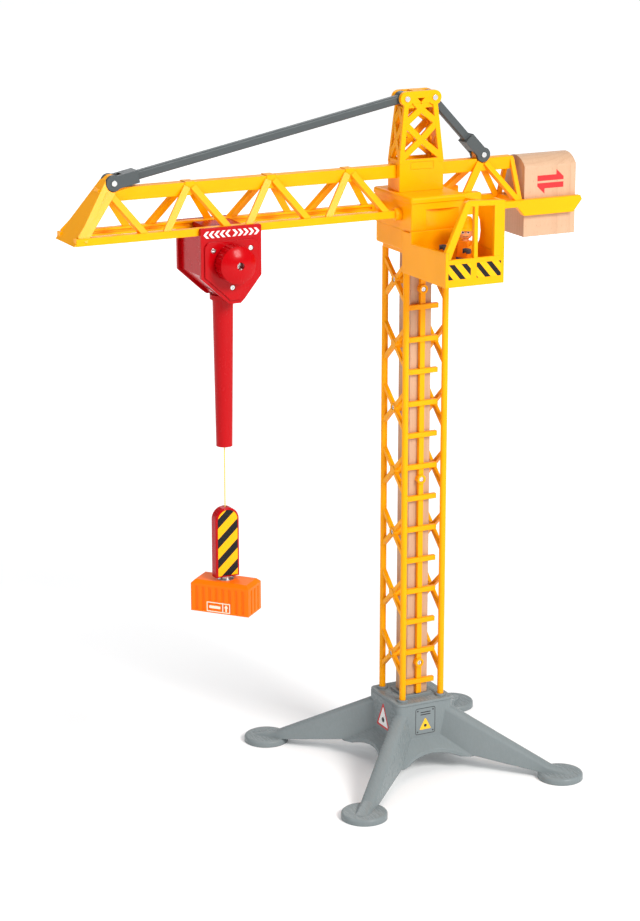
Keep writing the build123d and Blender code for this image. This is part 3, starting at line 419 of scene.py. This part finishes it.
# ------------------------------------------------------------------ hoist string
pts = [(-0.1578, 0, z) for z in (0.385, 0.3560, 0.3150, 0.2750, 0.2460, 0.2167)]
cu = bpy.data.curves.new("hoist_cord", "CURVE")
cu.dimensions = "3D"
sp = cu.splines.new("NURBS")
sp.points.add(len(pts) - 1)
for p, q in zip(sp.points, pts):
    p.co = (*q, 1)
sp.order_u = 3
sp.use_endpoint_u = True
cu.bevel_depth = 0.0005
cu.bevel_resolution = 3
cu.use_fill_caps = True
cu.materials.append(M["string_yellow"])
string = bpy.data.objects.new("hoist_cord", cu)
bpy.context.scene.collection.objects.link(string)
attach(string, "hook")
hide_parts("hoist_string")

# ------------------------------------------------------------------ prints on the trolley
bm = bmesh.new()
at = on_y(-22.0)
for side in (-1, 1):
    for k in range(5):
        tip = side * (21.7 - 4.18 * k)
        xs = [tip, tip - side * 2.35, tip - side * 4.35, tip - side * 2.0, tip - side * 4.35, tip - side * 2.35]
        zs = [0, 2.45, 2.45, 0, -2.45, -2.45]
        prism(bm, [[(-160.4 + x, 436.4 + z) for x, z in zip(xs, zs)]], -0.03, 0.07, at)
piece("trolley_chevrons", bm, "trolley", ink_white)

# ------------------------------------------------------------------ prints on the counterweight
bm = bmesh.new()
at = on_y(-14.6)
prism(bm, [[(95.4, 453.0), (118.3, 453.0), (118.3, 455.4), (111.9, 461.2), (111.9, 457.2), (95.4, 457.2)]], -0.03, 0.06, at)
prism(bm, [[(118.3, 451.4), (95.4, 451.4), (95.4, 449.0), (101.8, 443.2), (101.8, 447.2), (118.3, 447.2)]], -0.03, 0.06, at)
piece("counterweight_arrows", bm, "weight", ink_red)

# ------------------------------------------------------------------ stickers on the cab
bm = bmesh.new()
at = on_y(-88.3)
M["hazard_cab"] = stripes("hazard_print_cab", -1.15, -0.0209, 0.4120, 0.01173, 0.45)
prism(bm, [rrect(-21.7, -3.35, 401.6, 412.6, 0.5)], -0.04, 0.09, at)
prism(bm, [rrect(1.4, 21.5, 401.6, 412.6, 0.5)], -0.04, 0.09, at)
piece("cab_hazard_foils", bm, "superstructure", M["hazard_cab"])

# ------------------------------------------------------------------ plates on the base block
at = on_y(-24.6)
bm = bmesh.new()
prism(bm, [rrect(-9.4, 8.0, 29.6, 51.2, 1.6), rrect(-8.95, 7.55, 30.05, 50.75, 1.2)], -0.03, 0.07, at)
for x, z in ((-7.4, 49.0), (6.0, 49.0), (-7.4, 31.8), (6.0, 31.8)):
    prism(bm, [ring(x, z, 0.65, 14)], -0.03, 0.07, at)
prism(bm, [rrect(-5.0, 3.8, 47.2, 48.0, 0.3, 3)], -0.03, 0.07, at)
prism(bm, [rrect(-5.0, 3.8, 45.3, 46.1, 0.3, 3)], -0.03, 0.07, at)
piece("base_plate_lines", bm, "tower", ink_black)
bm = bmesh.new()
tri = round_poly([(-5.9, 33.4), (4.5, 33.4), (-0.7, 43.2)], 0.55)
prism(bm, [tri], -0.03, 0.07, at)
piece("base_plate_triangle", bm, "tower", ink_yellow)
bm = bmesh.new()
prism(bm, [ring(-0.7, 36.6, 1.25, 22)], 0.05, 0.12, at)
piece("base_plate_spot", bm, "tower", ink_black)
at = on_x(-24.6)
bm = bmesh.new()
outer = round_poly([(-10.6, 30.2), (10.6, 30.2), (0.0, 51.2)], 1.0)
inner = round_poly([(-8.0, 31.8), (8.0, 31.8), (0.0, 47.7)], 0.6)
prism(bm, [outer, inner], -0.03, 0.07, at)
piece("base_sign_border", bm, "tower", ink_red)
bm = bmesh.new()
prism(bm, [inner], -0.03, 0.06, at)
piece("base_sign_field", bm, "tower", ink_white)
bm = bmesh.new()
prism(bm, [ring(0.0, 36.6, 2.1, 26)], 0.04, 0.10, at)
piece("base_sign_spot", bm, "tower", ink_black)

# ------------------------------------------------------------------ label on the container
A = math.radians(-48.4)
CU, CV = Vector((math.cos(A), math.sin(A), 0)), Vector((-math.sin(A), math.cos(A), 0))
C0 = Vector((-157.8, 0, 148.5))


def on_con(u, v, w):
    return (C0 + CU * u + CV * (-11.8 - w) + Vector((0, 0, v))) * MM


def on_con_back(u, v, w):
    return (C0 - CU * u + CV * (11.8 + w) + Vector((0, 0, v))) * MM


bm = bmesh.new()
for at in (on_con, on_con_back):
    x0, x1, z0, z1, g = -10.4, 8.4, 0.9, 8.4, 6.2
    prism(bm, [rrect(x0, x1, z0, z1, 0.4, 3), rrect(x0 + .65, x1 - g, z0 + .65, z1 - .65, 0.2, 3),
               rrect(x1 - g + .65, x1 - .65, z0 + .65, z1 - .65, 0.2, 3)], -0.8, 0.08, at)
    cx = x1 - g / 2
    prism(bm, [[(cx - .6, 1.9), (cx + .6, 1.9), (cx + .6, 4.9), (cx + 1.6, 4.9), (cx, 7.3), (cx - 1.6, 4.9), (cx - .6, 4.9)]], -0.8, 0.08, at)
    prism(bm, [rrect(x0 + 2.0, x1 - g - 1.5, 3.6, 5.7, 0.5, 3)], -0.8, 0.08, at)
piece("container_label", bm, "load", ink_cream)

# ------------------------------------------------------------------ the driver's face
FA = math.radians(241.0)
FC, FR = Vector((8.0, -60.0, 429.4)), 5.4
FN = Vector((math.cos(FA), math.sin(FA), 0))
FS = Vector((-math.sin(FA), math.cos(FA), 0))       # to the driver's left


def on_face(s, h, out=0.0):
    """A point of the round face, s millimetres to the driver's left of its middle and h up."""
    a, b = s / FR, h / FR
    d = FN * (math.cos(a) * math.cos(b)) + FS * (math.sin(a) * math.cos(b)) + Vector((0, 0, math.sin(b)))
    return (FC + d * (FR + out)) * MM


def button(bm, s, h, ra, rb, out, rings=5, n=24):
    """A small cushion-shaped spot printed on the face."""
    rows = []
    for i in range(rings + 1):
        q = i / rings
        rows.append([bm.verts.new(on_face(s + ra * q * math.cos(2 * math.pi * k / n), h + rb * q * math.sin(2 * math.pi * k / n),
                                          out * math.sqrt(max(0.0, 1 - q * q)) - 0.02 * q)) for k in (range(n) if i else range(1))])
    for k in range(n):
        bm.faces.new((rows[0][0], rows[1][k], rows[1][(k + 1) % n]))
    for i in range(1, rings):
        for k in range(n):
            bm.faces.new((rows[i][k], rows[i + 1][k], rows[i + 1][(k + 1) % n], rows[i][(k + 1) % n]))


bm = bmesh.new()
for s in (-1, 1):
    button(bm, s * 2.05, 0.6, 1.35, 1.05, 0.22)
piece("driver_eyes", bm, "driver_head_body", ink_white, True)
bm = bmesh.new()
for s in (-1, 1):
    button(bm, s * 1.98, 0.55, 0.82, 0.80, 0.34)
piece("driver_pupils", bm, "driver_head_body", ink_black, True)


def bead_line(name, path, r, body, mat):
    """A thin raised line through these points, in millimetres."""
    c = bpy.data.curves.new(name, "CURVE")
    c.dimensions = "3D"
    s = c.splines.new("NURBS")
    s.points.add(len(path) - 1)
    for p, q in zip(s.points, path):
        p.co = (*q, 1)
    s.order_u = 3
    s.use_endpoint_u = True
    c.bevel_depth = r * MM
    c.bevel_resolution = 2
    c.use_fill_caps = True
    tmp = bpy.data.objects.new(name + "_c", c)
    bpy.context.scene.collection.objects.link(tmp)
    me = bpy.data.meshes.new_from_object(tmp)
    bpy.data.objects.remove(tmp)
    me.name = name
    me.materials.clear()
    me.materials.append(mat)
    me.polygons.foreach_set("use_smooth", [True] * len(me.polygons))
    o = bpy.data.objects.new(name, me)
    bpy.context.scene.collection.objects.link(o)
    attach(o, body)
    return o


bead_line("driver_smile", [on_face(s, -2.7 + 0.13 * s * s, 0.02) for s in (-2.0, -1.2, -0.4, 0.4, 1.2, 2.0)], 0.18,
          "driver_head_body", ink_black)
for s in (-1, 1):
    bead_line("driver_brow_left" if s > 0 else "driver_brow_right",
              [on_face(s * a, b, 0.02) for a, b in ((0.9, 2.15), (1.7, 2.45), (2.5, 2.2))], 0.12, "driver_head_body", ink_black)

# ------------------------------------------------------------------ floor, light
bm = bmesh.new()
bmesh.ops.create_circle(bm, cap_ends=True, segments=96, radius=30.0)
me = bpy.data.meshes.new("floor")
bm.to_mesh(me)
bm.free()
floor = bpy.data.objects.new("floor", me)
bpy.context.scene.collection.objects.link(floor)
t = Tree("floor_paper")
co = t.obj()
n = t.noise(co, 6, 2, 0.5)
t.set("Base Color", t.mix(n, (0.86, 0.86, 0.86), (0.89, 0.89, 0.89)))
t.set("Roughness", 0.75)
t.set("Specular IOR Level", 0.2)
far = t.add("ShaderNodeVectorMath", {0: co}, operation="LENGTH").outputs["Value"]
t.set("Emission Color", (1.0, 1.0, 1.0))
t.set("Emission Strength", t.math("ADD", 0.10, t.math("MULTIPLY", t.ramp(t.math("MULTIPLY", far, 0.25, clamp=True), [(0.06, 0.0), (0.50, 1.0)]), 0.60)))
me.materials.append(t.m)

world = bpy.data.worlds.new("studio")
bpy.context.scene.world = world
world.use_nodes = True
wt = world.node_tree
wt.nodes["Background"].inputs[0].default_value = (0.93, 0.96, 1.0, 1)
wt.nodes["Background"].inputs[1].default_value = 0.34


def lamp(name, az, el, dist, size, power, colour=(1, 1, 1), size_y=None):
    d = bpy.data.lights.new(name, "AREA")
    d.energy, d.color = power, colour
    d.shape = "RECTANGLE"
    d.size, d.size_y = size, size_y or size
    o = bpy.data.objects.new(name, d)
    a, e = math.radians(az), math.radians(el)
    b = Vector((math.sin(a) * math.cos(e), -math.cos(a) * math.cos(e), math.sin(e)))
    o.location = Vector((-0.05, 0, 0.28)) + b * dist
    o.rotation_mode = "QUATERNION"
    o.rotation_quaternion = b.to_track_quat("Z", "Y")
    bpy.context.scene.collection.objects.link(o)
    return o


lamp("key_softbox", 15, 33, 2.6, 0.9, 70, (1.0, 0.99, 0.97))
lamp("fill_softbox", -85, 20, 2.8, 1.5, 17, (0.98, 0.99, 1.0))
lamp("top_softbox", 10, 86, 2.6, 2.0, 18)
lamp("back_softbox", 160, 35, 2.8, 1.4, 14)

vs = bpy.context.scene.view_settings
vs.view_transform = "Standard"
vs.look = "None"
vs.exposure = 0.0
